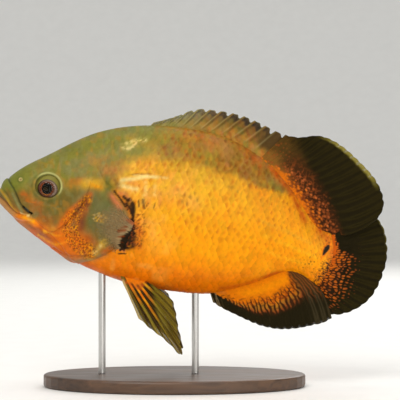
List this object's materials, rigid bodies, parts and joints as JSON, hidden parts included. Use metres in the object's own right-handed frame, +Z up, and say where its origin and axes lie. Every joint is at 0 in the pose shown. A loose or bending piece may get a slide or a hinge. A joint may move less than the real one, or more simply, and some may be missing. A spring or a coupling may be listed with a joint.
{
  "type": "oscar fish model",
  "caption": "Life-size still model of an adult oscar fish, swimming slightly nose up with spread fins, on two rods over an oval base.",
  "frame": {"origin": "centre of the whole model's bounding box seen from above, at the height of the base's underside", "axes": "+X from the fish's head to its tail, +Y from its left side to its right side, +Z up"},
  "size_m": [0.2804, 0.1524, 0.1989],
  "materials": {
    "skin_back": "satin, olive",
    "skin_flank": "satin, yellow orange",
    "lips": "satin, olive",
    "fin_dark": "satin, near black",
    "fin_clear": "satin, grey brown",
    "eye": "polished",
    "stand_wood": "satin, dark",
    "stand_steel": "brushed"
  },
  "bodies": {
    "root": {"head": "skin_back", "upper_jaw": "lips", "lower_jaw": "lips", "gill_cover_left": "skin_back", "gill_cover_right": "skin_back", "eye_left": "eye", "eye_right": "eye", "torso": "skin_flank", "tail_stem": "skin_flank", "dorsal_fin_spiny": "fin_clear", "dorsal_fin_soft": "fin_dark", "anal_fin": "fin_dark", "caudal_fin": "fin_dark", "pectoral_fin_left": "fin_clear", "pectoral_fin_right": "fin_clear", "pelvic_fin_left": "fin_clear", "pelvic_fin_right": "fin_clear", "stand_base": "stand_wood", "stand_rod_front": "stand_steel", "stand_rod_back": "stand_steel"}
  },
  "joints": []
}
